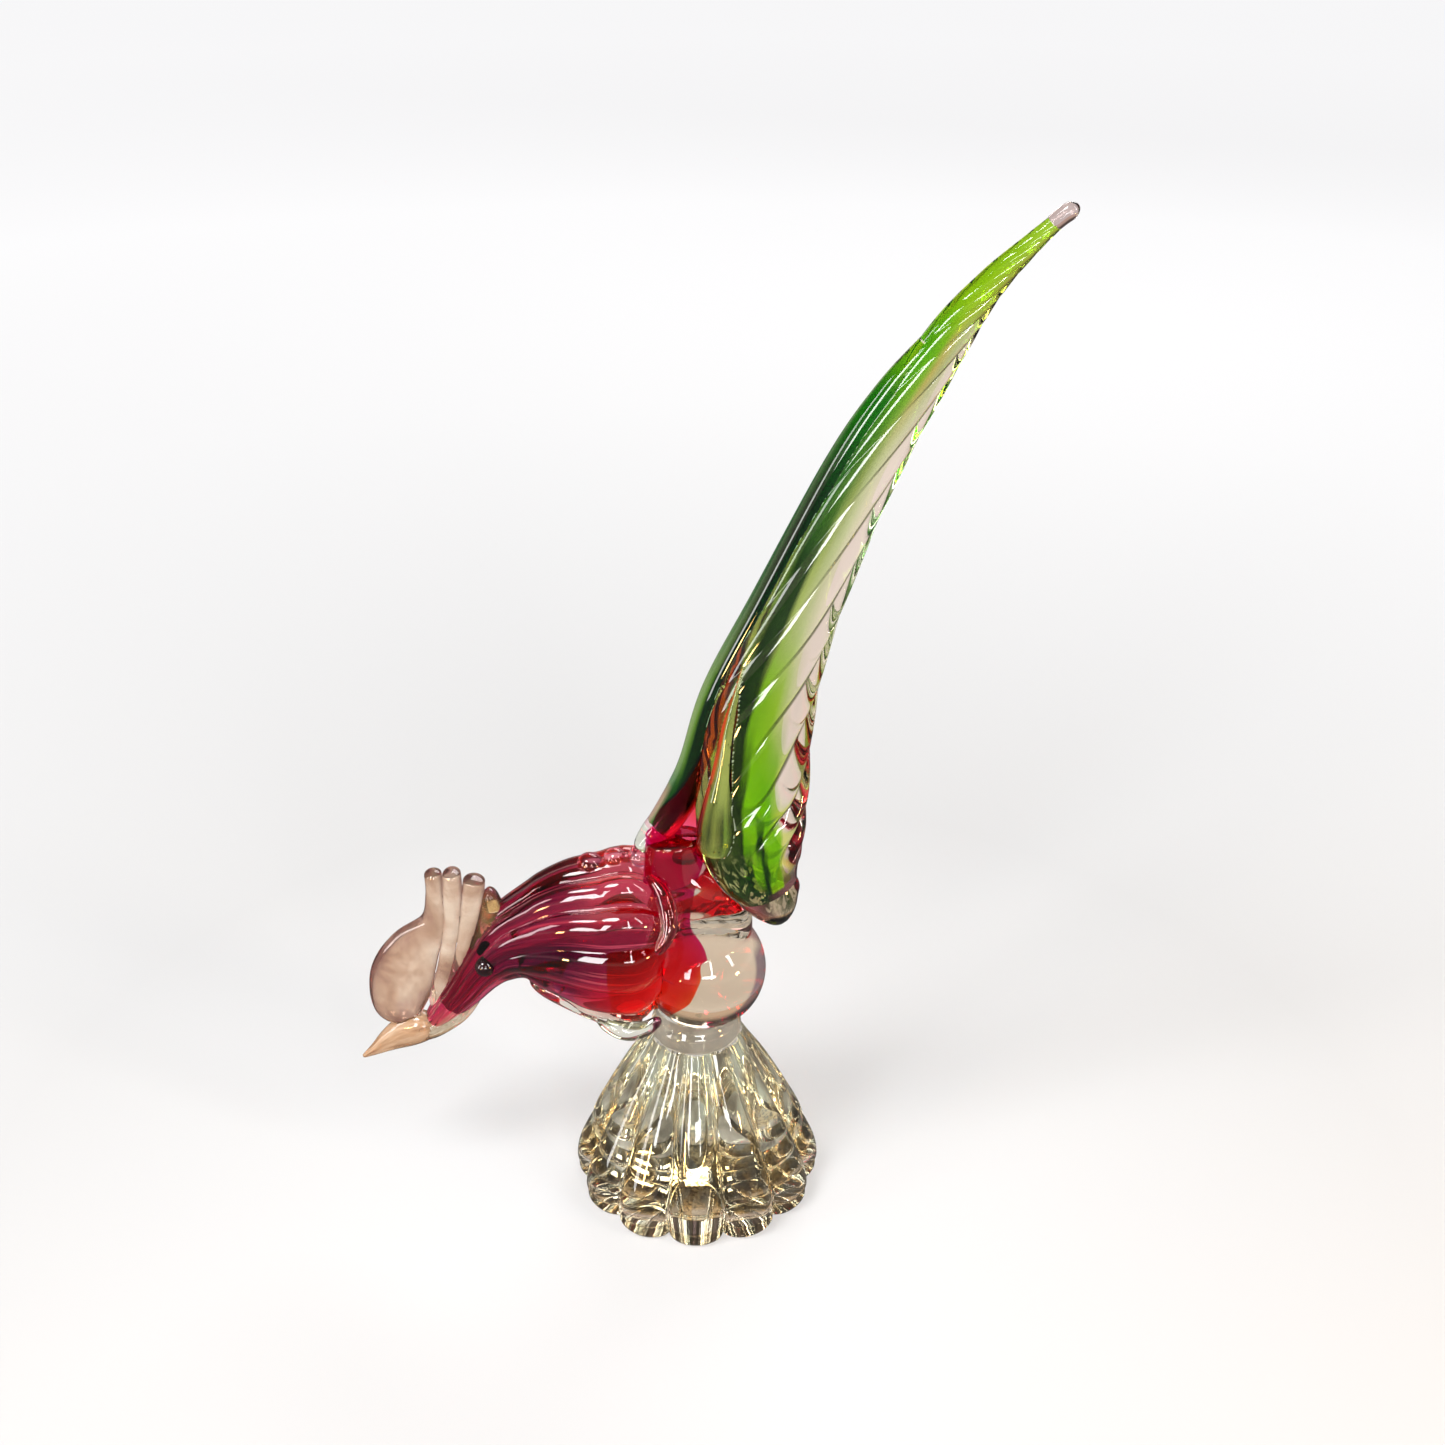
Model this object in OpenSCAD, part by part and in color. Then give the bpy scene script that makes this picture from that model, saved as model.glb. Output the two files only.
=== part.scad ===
// Hand-worked glass bird: a cockerel with a lowered head and a long upswept tail, on a ribbed bell foot.
// Millimetres, +Z up, beak towards -X. The origin is the centre of the ground face under the foot.

/* [Foot] */
// Height of the ribbed bell foot
foot_height = 68; // [62:1:72]
// Number of ribs round the foot
foot_ribs = 12; // [8:1:16]
// How deep the furrows between the ribs are at the rim
foot_furrow = 8; // [3:0.5:9]

/* [Body] */
// Radius of the clear ball
ball_r = 23.2; // [22:0.1:24]
// Radius of the clear collar under the ball
collar_r = 17; // [16:0.5:19]
// Number of ribs round the neck
neck_ribs = 12; // [8:1:14]
// How far the neck's ribs stand up, as a share of its radius
neck_rib_depth = 0.08; // [0.04:0.01:0.1]
// How far the neck's ribs turn from the breast to the head, in degrees
neck_twist = 30; // [0:5:60]

/* [Head] */
// Radius of an eye bead
eye_r = 3.7; // [3:0.1:4.2]
// Half the thickness of the comb, across the bird
comb_half = 4.6; // [3.5:0.1:5.5]

/* [Tail] */
// Number of twisted ribs round the tail
tail_ribs = 8; // [6:1:12]
// How far the tail twists from root to tip, in degrees
tail_twist = -620; // [-700:20:-400]
// How far the tail's ribs stand up, as a share of its section
tail_rib_depth = 0.1; // [0.04:0.01:0.11]

/* [Hidden] */

// Everything above the foot is drawn for a foot this high, and rises with it
drawn_foot_height = 68;
lift = foot_height - drawn_foot_height;
ball_x = 3;
ball_z = 97 + lift;
clear = [0.93, 0.9, 0.85, 0.45];
rose_clear = [0.88, 0.76, 0.68, 0.6];
ruby = [0.5, 0.05, 0.15];
scarlet = [0.9, 0.08, 0.08];
dark_green = [0.05, 0.3, 0.08];
bright_green = [0.42, 0.75, 0.12];
yellow_green = [0.75, 0.8, 0.4];
peach = [0.85, 0.68, 0.5];
black = [0.06, 0.02, 0.03];

// A smooth curve through the rows of p, at t from 0 to 1. A row may hold any count of numbers.
function row(p, i) = p[min(max(i, 0), len(p) - 1)];
function through(p, t) =
  let (s = min(max(t, 0), 1) * (len(p) - 1))
  let (i = min(floor(s), len(p) - 2))
  let (u = s - i, a = row(p, i - 1), b = row(p, i), c = row(p, i + 1), d = row(p, i + 2))
  b + 0.5 * u * (c - a + u * (2 * a - 5 * b + 4 * c - d + u * (3 * (b - c) + d - a)));
function place(r) = [r[0], r[1], r[2] + lift];
function unit(v) = v / norm(v);
function heading(p, t) = unit(place(through(p, min(t + 0.01, 1))) - place(through(p, max(t - 0.01, 0))));

// Ribs that stand up from a section. Its sides turn with the ribs.
function ribs(count, depth, a) = 1 + depth * cos(count * a);
// Rounds the ends of a strand off over the first and last shares of its length
function rounded(t, first, last) =
  let (u = first > 0 ? max(0, 1 - t / first) : 0, v = last > 0 ? max(0, 1 - (1 - t) / last) : 0)
  max(0.15, sqrt(1 - u * u) * sqrt(1 - v * v));

// One ring of a strand. A row of the strand is x, y, z, half its width, and half its depth across the bird.
// The shape takes t, the angle along the ribs and the angle round the section.
function ring(p, t, sides, shape, twist, across) =
  let (r = through(p, t), along = heading(p, t))
  let (up = unit(cross(along, across)), over = cross(up, along))
  [for (k = [0:sides - 1]) let (b = 360 * k / sides, a = b + twist * t * t, f = shape(t, b, a))
    place(r) + up * (r[3] * f * cos(a)) + over * (r[4] * f * sin(a))];

// Joins rings of points into one closed skin, with a fan at each end
module skin(rings) {
  n = len(rings[0]);
  m = len(rings);
  ends = [for (r = [rings[0], rings[m - 1]]) [for (j = [0:2]) [for (q = r) q[j]] * [for (q = r) 1] / n]];
  sides = [for (i = [0:m - 2], k = [0:n - 1]) let (l = (k + 1) % n)
    each [[i * n + k, i * n + l, (i + 1) * n + k], [i * n + l, (i + 1) * n + l, (i + 1) * n + k]]];
  first = [for (k = [0:n - 1]) [(k + 1) % n, k, m * n]];
  last = [for (k = [0:n - 1]) [(m - 1) * n + k, (m - 1) * n + (k + 1) % n, m * n + 1]];
  polyhedron(concat([for (r = rings) each r], ends), concat(sides, first, last));
}

// A strand swept through its rows
module strand(p, steps, sides, shape = function (t, b, a) 1, twist = 0, across = [0, 1, 0]) {
  skin([for (i = [0:steps]) ring(p, i / steps, sides, shape, twist, across)]);
}

// A short strand with round ends
module drawn(p, first = 0.2, last = 0.2, steps = 10, sides = 12) {
  strand(p, steps, sides, function (t, b, a) rounded(t, first, last));
}

// Joins what it holds into one faceted solid, for freely shaped glass
module one_skin() {
  resize([0, 0, 0]) children();
}

// ---- Foot ----

// Radius at the crest of a rib, and its height, from the rim up to the waist
foot_rows = [
  [45, 0], [46.6, 2.5], [46.2, 5.5], [47.2, 8], [45.4, 16], [38.8, 30], [30, 47], [22, 60], [17.5, 68]
];

// Half an arch over each rib, 1 at its crest and 0 in the furrow
function arch(a) = let (u = (a * foot_ribs / 180 + 1) % 2 - 1) sqrt(1 - 0.96 * u * u);

module foot() {
  color(clear) {
    steps = 12;
    sides = foot_ribs * 6;
    skin([for (i = [0:steps]) let (r = through(foot_rows, i / steps), depth = foot_furrow * r[0] / 46)
      [for (k = [0:sides - 1]) let (a = 360 * (k + 0.5) / sides, d = r[0] - depth * (1 - arch(a)))
        [-d * sin(a), -d * cos(a), i == 0 ? 0 : r[1] * foot_height / drawn_foot_height]]]);
  }
}

module collar_shape() {
  translate([0, 0, foot_height])
    rotate_extrude($fn = 64)
      polygon([
        [0, 0], [collar_r - 1, 0], [collar_r, 2], [collar_r, 4], [collar_r - 0.5, 6], [collar_r - 2, 9],
        [collar_r - 2, 12], [0, 12]
      ]);
}

module foot_collar() {
  color(clear)
    difference() {
      collar_shape();
      translate([ball_x, 0, ball_z])
        sphere(r = ball_r, $fn = 96);
    }
}

// ---- Body ----

core_rows = [
  [-14, 0, 81, 3, 3], [-14, 0, 83, 9, 8], [-14.5, 0, 88, 15, 13], [-14.5, 0, 96, 17, 15],
  [-12, 0, 106, 14.6, 14], [-11.5, 0, 117, 10.4, 11.2], [-10.2, 0, 130, 9.4, 9.7], [-9, 0, 143, 9.5, 8.9],
  [-8, 0, 154, 9.2, 8]
];
sleeve_rows = [
  [-6, 0, 104, 20, 20], [-1.5, -1, 116, 22.5, 17.5], [-0.5, -2, 128, 19.5, 13.5], [-5.5, -1, 141, 14, 11.5],
  [-7, 0, 153.6, 10.2, 9.2]
];
spike_rows = [
  [-8, 0, 152, 8.6, 7.4], [-6.2, -1, 161, 7.6, 6.6], [-1, -2, 173, 4.6, 4.4], [5, -2.5, 190, 2.6, 2.6],
  [11, -2.5, 209, 1.6, 1.6], [18, -2, 231, 0.8, 0.8]
];

module ball() {
  translate([ball_x, 0, ball_z])
    sphere(r = ball_r, $fn = 28);
}

module body_outer() {
  ball();
  strand(sleeve_rows, 6, 20);
}

module core_shape() {
  strand(core_rows, 12, 16);
}

module body_ball() {
  color(clear)
    one_skin()
      difference() {
        body_outer();
        core_shape();
      }
}

module body_core() {
  color(scarlet)
    core_shape();
}

module spike_shape() {
  strand(spike_rows, 10, 10);
}

module back_spike() {
  color(ruby)
    one_skin()
      difference() {
        spike_shape();
        core_shape();
      }
}

// ---- Neck ----

neck_rows = [
  [-8, 0, 112.4, 32, 27], [-20, 0, 112.4, 33, 27], [-33, 0, 112, 31.5, 26], [-45, 0, 112.5, 28, 23],
  [-56, 0, 111.5, 22.5, 19], [-66, 0, 109, 16, 15], [-74, 0, 103, 11.5, 11.5], [-80, 0, 96.5, 9.2, 9.6],
  [-86, 0, 88.5, 7.6, 8.6], [-93.5, 0, 79.5, 6, 7], [-100.5, 0, 71.5, 3.6, 4.6]
];
// The coloured core lies higher than the skin's middle at the breast
neck_core_rows = [
  [-12, 0, 126, 14, 20], [-20, 0, 120, 23, 24], [-33, 0, 115.5, 26, 24], [-45, 0, 114, 24.5, 21],
  [-56, 0, 112, 20.5, 17], [-66, 0, 109.3, 14.2, 13], [-74, 0, 103.2, 9.8, 9.8], [-80, 0, 96.7, 7.6, 8],
  [-86, 0, 88.7, 6.2, 7], [-93, 0, 80.2, 4.6, 5.4]
];

function neck_shape(t, b) = ribs(neck_ribs, neck_rib_depth * (1 - 0.5 * t), b);

module neck_core_shape() {
  strand(
    neck_core_rows, 11, neck_ribs * 3, function (t, b, a) neck_shape(t, b) * rounded(t, 0.1, 0), neck_twist
  );
}

module neck_outer() {
  strand(
    neck_rows, 15, neck_ribs * 4, function (t, b, a) neck_shape(t, b) * rounded(t, 0.14, 0.04), neck_twist
  );
}

// What the neck was gathered round, and the eyes pressed into it
module neck_hollows() {
  body_outer();
  core_shape();
  eye_near();
  eye_far();
}

module neck_casing() {
  color(ruby)
    one_skin()
      difference() {
        neck_outer();
        neck_core_shape();
        neck_hollows();
      }
}

module neck_core() {
  color(ruby)
    one_skin()
      difference() {
        neck_core_shape();
        neck_hollows();
      }
}

flute_y = 7.5;

// Pulled clear flutes that run under the breast, from the throat to the lip
function flute_rows(y) =
  let (lift = 0.06 * y * y)
  [
    [-62, 0.2 * y, 92, 1.6, 1.8], [-56, 0.5 * y, 89.5, 3.2, 3.4], [-47, 0.8 * y, 84.5 + 0.6 * lift, 4.2, 4.2],
    [-38, y, 79.5 + lift, 4.4, 4.4], [-29, y, 75.5 + lift, 4, 4.2], [-20, 0.9 * y, 74 + lift, 2.6, 3.2]
  ];

module flute_shape(y) {
  drawn(flute_rows(y), 0.12, 0.12, 12, 10);
}

module breast_flute(y) {
  color(clear)
    one_skin()
      difference() {
        flute_shape(y);
        neck_outer();
        body_outer();
        if (y != 0)
          flute_shape(0);
      }
}

module breast_flute_near() { breast_flute(-flute_y); }
module breast_flute_mid() { breast_flute(0); }
module breast_flute_far() { breast_flute(flute_y); }

// The lip where the breast's overlay was turned under, a short rope along each side
module breast_lip(side) {
  rows = [
    [-37, 4, 79, 2.2, 2.2], [-33, 8, 76.5, 3.2, 3.2], [-26, 11, 75, 3.6, 3.6], [-19, 15, 79, 3, 3],
    [-13, 19.5, 87, 2, 2]
  ];
  color(clear)
    one_skin()
      difference() {
        drawn([for (r = rows) [r[0], side * r[1], r[2], r[3], r[4]]], 0.15, 0.15, 10, 10);
        neck_outer();
        body_outer();
        for (y = [-flute_y, 0, flute_y])
          flute_shape(y);
      }
}

module breast_lip_near() { breast_lip(-1); }
module breast_lip_far() { breast_lip(1); }

// A hooked curl where a rib of the neck ends on the shoulder
module shoulder_curl(side) {
  rows = [
    [-17, 8, 142.5, 2, 2], [-12, 13, 139, 3, 3], [-9.5, 18, 133.5, 3.2, 3.2], [-9.5, 22, 127, 2.8, 2.8],
    [-13.5, 25, 120, 2, 2]
  ];
  color(ruby)
    one_skin()
      difference() {
        drawn([for (r = rows) [r[0], side * r[1], r[2], r[3], r[4]]], 0.15, 0.15, 10, 10);
        neck_outer();
        neck_core_shape();
        body_outer();
      }
}

module shoulder_curl_near() { shoulder_curl(-1); }
module shoulder_curl_far() { shoulder_curl(1); }

// Beads pinched up along the back, from the head end: x, z, half the length, and the lean in degrees
crimps = [[-38, 142.4, 4.8, 12], [-29, 144.6, 4.2, -6], [-20.6, 145.2, 4, 10]];
crimp_half = 4.6;
crimp_rise = 4.2;

module crimp_shape(c) {
  translate([c[0], 0, c[1] + lift])
    rotate([0, c[3], 0])
      scale([c[2], crimp_half, crimp_rise])
        sphere(r = 1, $fn = 16);
}

module back_crimp(i) {
  color(rose_clear)
    one_skin()
      difference() {
        crimp_shape(crimps[i]);
        neck_outer();
        body_outer();
        core_shape();
      }
}

module back_crimp_1() { back_crimp(0); }
module back_crimp_2() { back_crimp(1); }
module back_crimp_3() { back_crimp(2); }

// ---- Head ----

jaw_rows = [
  [-80.5, 0, 88.5, 2.4, 3], [-84.6, 0, 83.2, 3.8, 4.6], [-89.2, 0, 77, 4.2, 5.4], [-95, 0, 72, 4.2, 5.2],
  [-100.5, 0, 68.3, 4, 4.8], [-107, 0, 65.2, 3, 4]
];
beak_rows = [
  [-99, 0, 71, 5, 5], [-105, 0, 69, 6.6, 5.4], [-111, 0, 66.3, 6.6, 4.6], [-117, 0, 62.5, 4.8, 3.2],
  [-122.5, 0, 58.3, 2.6, 2], [-128, 0, 54.4, 0.7, 0.7]
];

module jaw_shape() {
  drawn(jaw_rows, 0.2, 0.15, 8, 12);
}

module beak_shape() {
  drawn(beak_rows, 0.15, 0.03, 12, 12);
}

module jaw() {
  color(clear)
    one_skin()
      difference() {
        jaw_shape();
        neck_outer();
      }
}

module beak() {
  color(peach)
    one_skin()
      difference() {
        beak_shape();
        neck_outer();
        jaw_shape();
      }
}

eye_x = -77.5;
eye_y = 9.6;
eye_z = 103.5 + lift;

module eye(side) {
  color(black)
    translate([eye_x, side * eye_y, eye_z])
      sphere(r = eye_r, $fn = 24);
}

module eye_near() { eye(-1); }
module eye_far() { eye(1); }

// The comb: one bit of glass run down into a round paddle, then crimped tabs behind it
paddle_rows = [
  [-95.5, 0, 139.5, 3.2, 0.8], [-95.3, 0, 129, 3.5, 0.9], [-96.5, 0, 117, 5.4, 1], [-104, 0, 105, 10.5, 1],
  [-109, 0, 94, 12.5, 1], [-112, 0, 83, 11, 1], [-113, 0, 71, 7, 0.8]
];
tab_1_rows = [
  [-88.6, 0, 139.5, 3.3, 1], [-88.9, 0, 130, 3.7, 1], [-90, 0, 116, 3.8, 1], [-92.5, 0, 101, 3.6, 0.95],
  [-96, 0, 89, 3, 0.85], [-99.5, 0, 79, 2, 0.7]
];
tab_2_rows = [
  [-80.4, 0, 136.5, 4, 1], [-82, 0, 126, 4.2, 1], [-85, 0, 112, 3.8, 1], [-88.5, 0, 99, 3.2, 0.9],
  [-92, 0, 90, 2, 0.8]
];
curl_rows = [
  [-75.5, 0, 131.5, 2, 0.8], [-75, 0, 124, 4.4, 1.1], [-76, 0, 116, 5.2, 1.3], [-80, 0, 108, 4.4, 1.2],
  [-83.5, 0, 101, 2.6, 0.9]
];

function comb_half_rows(p) = [for (r = p) [r[0], r[1], r[2], r[3], r[4] * comb_half]];

module comb_shape(p, first, steps) {
  drawn(comb_half_rows(p), first, 0.1, steps, 14);
}

module paddle_shape() { comb_shape(paddle_rows, 0.04, 18); }
module tab_1_shape() { comb_shape(tab_1_rows, 0.05, 12); }
module tab_2_shape() { comb_shape(tab_2_rows, 0.05, 11); }

// A comb piece is the first child, less the neighbours it was pressed on to
module comb_piece() {
  color(rose_clear)
    one_skin()
      difference() {
        children(0);
        if ($children > 1)
          children([1:$children - 1]);
        neck_outer();
        beak_shape();
        jaw_shape();
      }
}

module comb_paddle() { comb_piece() paddle_shape(); }
module comb_tab_1() {
  comb_piece() {
    tab_1_shape();
    paddle_shape();
  }
}
module comb_tab_2() {
  comb_piece() {
    tab_2_shape();
    tab_1_shape();
  }
}
module comb_curl() {
  comb_piece() {
    comb_shape(curl_rows, 0.12, 12);
    tab_2_shape();
  }
}

// ---- Tail ----

blade_rows = [
  [26, -5, 136, 12, 11], [22.5, -5, 144, 16, 12.5], [20.3, -4.5, 154, 18.3, 13], [19.6, -4, 165, 19, 13],
  [20.3, -3, 179, 19.2, 12.2], [24, -2, 208, 17.4, 10.4], [35, -1, 242, 13.4, 8.6], [55.4, 0, 292, 10.5, 6.8],
  [79, 0, 336, 7.6, 5], [92.5, 0, 356, 5, 3.8], [105.6, 0, 370, 3.2, 2.8], [113, 0, 377, 2.6, 2.4]
];
tail_core_rows = [
  [26.4, -6.4, 140, 4.8, 5.1], [25.5, -7, 146, 5.6, 5.5], [23, -7, 157, 6.2, 5.6], [22, -6.5, 170, 6.6, 5.5],
  [22.5, -5.5, 186, 6.6, 5.4], [25.5, -4, 209, 6.2, 5], [35.5, -2, 243, 5.6, 4.6], [55.4, -0.5, 292, 5, 4],
  [79, 0, 336, 4.6, 3.2], [92, 0, 356, 3.2, 2.4], [104, 0, 369, 1.8, 1.6]
];
strand_rows = [
  [-15.5, 4.5, 152, 4.8, 6], [-9.5, 4.5, 160, 6, 7], [-3.5, 4, 171.5, 6.4, 7.5], [1, 3.5, 184, 6.2, 7.5],
  [8.7, 3, 212, 6, 7], [24.8, 2, 247, 5.6, 6.2], [48, 1, 296, 5.2, 5.4], [63, 0.5, 321, 4.8, 4.6],
  [77, 0, 339, 4, 3.6], [89, 0, 354, 2.6, 2.6]
];
strip_rows = [
  [7, -12, 154, 5.5, 5], [8, -13, 163, 7.3, 6.4], [8.6, -12.4, 175, 5.6, 6], [10, -11, 187, 3.8, 5],
  [13, -8.5, 207, 2.6, 3.6], [16.5, -6.5, 222, 1.6, 2.6], [18.5, -5, 230, 1, 1.4]
];
lobe_rows = [
  [25, -5, 143, 9, 8], [25.7, -5, 138, 11.2, 10.2], [26.6, -5.1, 133.5, 11.7, 10.6],
  [28, -5.5, 128.2, 9.3, 8.6], [28.5, -6, 124, 6.6, 6.4], [28, -6, 121, 3.6, 3.8]
];
swirl_rows = [
  [-20.5, 1, 147, 2.4, 3], [-18.5, 2, 149.4, 3.8, 4.6], [-15.5, 3.5, 152.3, 5, 6], [-12, 4.2, 156.8, 5.4, 6.4]
];
tip_rows = [
  [111, 0, 375.4, 2.7, 2.5], [114, 0, 378, 2.8, 2.6], [116.6, 0, 380, 2.8, 2.5], [119, 0, 381.4, 1.6, 1.5]
];

// Ribs on the rear of the tail's near side, fading to its smooth front edge, its far side and both ends
function tail_shape(t, b, a) =
  let (rear = 0.5 - 0.5 * cos(a), near = 0.5 - 0.5 * sin(a), root = min(1, 4 * t))
  ribs(tail_ribs, tail_rib_depth * (0.15 + rear) * near * root * (1 - pow(t, 6)), b);

module blade_shape() {
  strand(
    blade_rows, 32, tail_ribs * 5, function (t, b, a) tail_shape(t, b, a) * rounded(t, 0, 0.02), tail_twist
  );
}

module strand_shape() {
  drawn(strand_rows, 0, 0.06, 16, 12);
}

module tail_core_shape() {
  drawn(tail_core_rows, 0, 0.05, 15, 12);
}

module tail_casing() {
  color(clear)
    one_skin()
      difference() {
        blade_shape();
        strand_shape();
        tail_core_shape();
        spike_shape();
        body_outer();
      }
}

module tail_core() {
  color(bright_green)
    one_skin()
      difference() {
        tail_core_shape();
        strand_shape();
      }
}

module tail_strand() {
  color(dark_green)
    one_skin()
      difference() {
        strand_shape();
        spike_shape();
        body_outer();
        core_shape();
      }
}

module tail_strip() {
  color(yellow_green)
    one_skin()
      difference() {
        drawn(strip_rows, 0.1, 0.05, 14, 12);
        blade_shape();
        strand_shape();
        spike_shape();
        body_outer();
      }
}

module tail_root_lobe() {
  color(clear)
    one_skin()
      difference() {
        drawn(lobe_rows, 0, 0.3, 8, 24);
        blade_shape();
        body_outer();
      }
}

module swirl_shape() {
  drawn(swirl_rows, 0.25, 0.1, 8, 14);
}

module tail_swirl() {
  color(clear)
    one_skin()
      difference() {
        swirl_shape();
        strand_shape();
        spike_shape();
        body_outer();
        core_shape();
        neck_outer();
        crimp_shape(crimps[2]);
      }
}

module tail_tip() {
  color(rose_clear)
    one_skin()
      difference() {
        drawn(tip_rows, 0.1, 0.25, 8, 14);
        blade_shape();
      }
}

foot();
foot_collar();
body_ball();
body_core();
back_spike();
neck_casing();
neck_core();
breast_flute_near();
breast_flute_mid();
breast_flute_far();
breast_lip_near();
breast_lip_far();
shoulder_curl_near();
shoulder_curl_far();
back_crimp_1();
back_crimp_2();
back_crimp_3();
jaw();
beak();
eye_near();
eye_far();
comb_paddle();
comb_tab_1();
comb_tab_2();
comb_curl();
tail_casing();
tail_core();
tail_strand();
tail_strip();
tail_root_lobe();
tail_swirl();
tail_tip();
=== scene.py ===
"""Looks of the art glass bird: outer glass with cased colours, inner cores, a pale floor and studio light.

The outer pieces are fused to each other hot, so light doesn't bend where one meets the next. Each face that
lies inside a neighbour therefore takes the joint material, which has no index step. Cores have none either.
The rows of a strand are (x, y, z, half height, half width) in millimetres, in the CAD model's frame.
"""
import math

import bpy
import numpy as np
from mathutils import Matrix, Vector
from mathutils.bvhtree import BVHTree

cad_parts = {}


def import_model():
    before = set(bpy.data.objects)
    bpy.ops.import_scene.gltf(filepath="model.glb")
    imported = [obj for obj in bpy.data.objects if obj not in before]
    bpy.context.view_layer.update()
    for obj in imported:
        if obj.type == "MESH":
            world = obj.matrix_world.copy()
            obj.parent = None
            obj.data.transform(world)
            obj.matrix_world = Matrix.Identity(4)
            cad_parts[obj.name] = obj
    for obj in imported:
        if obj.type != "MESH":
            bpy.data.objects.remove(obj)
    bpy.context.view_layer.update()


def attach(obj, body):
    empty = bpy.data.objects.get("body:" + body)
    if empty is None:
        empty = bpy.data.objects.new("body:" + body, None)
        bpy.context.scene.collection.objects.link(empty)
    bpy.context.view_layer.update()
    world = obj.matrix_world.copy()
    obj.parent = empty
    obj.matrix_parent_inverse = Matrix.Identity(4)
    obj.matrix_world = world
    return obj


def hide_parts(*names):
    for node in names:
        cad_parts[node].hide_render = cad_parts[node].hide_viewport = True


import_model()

MM = 0.001
FINE = 1.0
TURN = 2 * math.pi
SMALLEST_RING = 0.02
END_RINGS = 8
INSIDE_BY = 1e-6


def count(n):
    """A number of rings or sides, fewer while trying things."""
    return max(6, int(round(n * FINE)))


# ---- Swept glass, with the same rows and spline as the CAD model ----


def through(rows, t):
    """Points of the spline through the rows, at shares t of its length."""
    rows = np.asarray(rows, float)
    s = np.clip(t, 0, 1) * (len(rows) - 1)
    i = np.minimum(np.floor(s).astype(int), len(rows) - 2)
    u = (s - i)[:, None]
    a, b, c, d = (rows[np.clip(i + k, 0, len(rows) - 1)] for k in (-1, 0, 1, 2))
    return b + 0.5 * u * (c - a + u * (2 * a - 5 * b + 4 * c - d + u * (3 * (b - c) + d - a)))


def unit(v):
    return v / np.linalg.norm(v, axis=-1, keepdims=True)


def rounded(t, first, last):
    """The size of a strand's rings, rounded off over the first and last shares of its length."""
    u = np.maximum(0, 1 - t / first) if first > 0 else 0 * t
    v = np.maximum(0, 1 - (1 - t) / last) if last > 0 else 0 * t
    return np.maximum(SMALLEST_RING, np.sqrt(np.maximum(0, 1 - u * u)) * np.sqrt(np.maximum(0, 1 - v * v)))


def spaced(n, first, last):
    """t values for n rings, closer together where an end is rounded."""
    t = np.linspace(0, 1, n + 1)
    cap = 1 - np.cos(np.linspace(0, TURN / 4, END_RINGS, endpoint=False))
    extra = []
    if first > 0:
        extra.append(first * cap)
    if last > 0:
        extra.append(1 - last * cap)
    keep = t[(t > first * 0.98) & (t < 1 - last * 0.98)] if extra else t
    return np.unique(np.concatenate([keep, [0.0, 1.0]] + extra))


def circle(n):
    return np.linspace(0, TURN, n, endpoint=False)


def unit_ball(steps, sides, cap):
    """Rings of a unit ball as t, x, y and z. A share cap of the half turn is left out at each pole."""
    t = np.linspace(0, 1, count(steps) + 1)
    e = (cap + (1 - 2 * cap) * t)[:, None] * math.pi
    a = circle(count(sides))
    return t, np.sin(e) * np.cos(a), np.sin(e) * np.sin(a), -np.cos(e) + 0 * a


def rings_of(rows, t, sides, shape, size, twist):
    """Rings of points, and the angle of each. The sides turn with the ribs, faster towards the end."""
    r = through(rows, t)
    along = unit(through(rows, t + 0.01)[:, :3] - through(rows, t - 0.01)[:, :3])
    up = unit(np.cross(along, (0.0, 1.0, 0.0)))
    over = np.cross(up, along)
    b = circle(sides) + 0 * t[:, None]
    a = b + math.radians(twist) * t[:, None] ** 2
    f = shape(t[:, None], b, a) * size[:, None]
    rise = (r[:, 3:4] * f * np.cos(a))[..., None] * up[:, None]
    reach = (r[:, 4:5] * f * np.sin(a))[..., None] * over[:, None]
    return r[:, None, :3] + rise + reach, a


def skin(name, rings, t, angle=None):
    """One closed mesh over rings of points in millimetres. Its flow attribute is cos angle, sin angle, t."""
    m, n = rings.shape[:2]
    ends = np.stack([rings[0].mean(0), rings[-1].mean(0)])
    verts = np.concatenate([rings.reshape(-1, 3), ends]) * MM
    i, k = np.meshgrid(np.arange(m - 1), np.arange(n), indexing="ij")
    after = (k + 1) % n
    quads = np.stack([i * n + k, (i + 1) * n + k, (i + 1) * n + after, i * n + after], -1).reshape(-1, 4)
    faces = quads.tolist()
    faces += [[m * n, j, (j + 1) % n] for j in range(n)]
    faces += [[m * n + 1, (m - 1) * n + (j + 1) % n, (m - 1) * n + j] for j in range(n)]
    mesh = bpy.data.meshes.new(name)
    mesh.from_pydata(verts.tolist(), [], faces)
    if angle is None:
        angle = circle(n) + 0 * t[:, None]
    flow = np.stack([np.cos(angle).ravel(), np.sin(angle).ravel(), np.repeat(t, n)], -1)
    flow = np.concatenate([flow, [[0, 0, t[0]], [0, 0, t[-1]]]])
    attribute = mesh.attributes.new("flow", "FLOAT_VECTOR", "POINT")
    attribute.data.foreach_set("vector", flow.astype(np.float32).ravel())
    mesh.shade_smooth()
    piece = bpy.data.objects.new(name, mesh)
    bpy.context.scene.collection.objects.link(piece)
    face_outwards(piece)
    return piece


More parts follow.
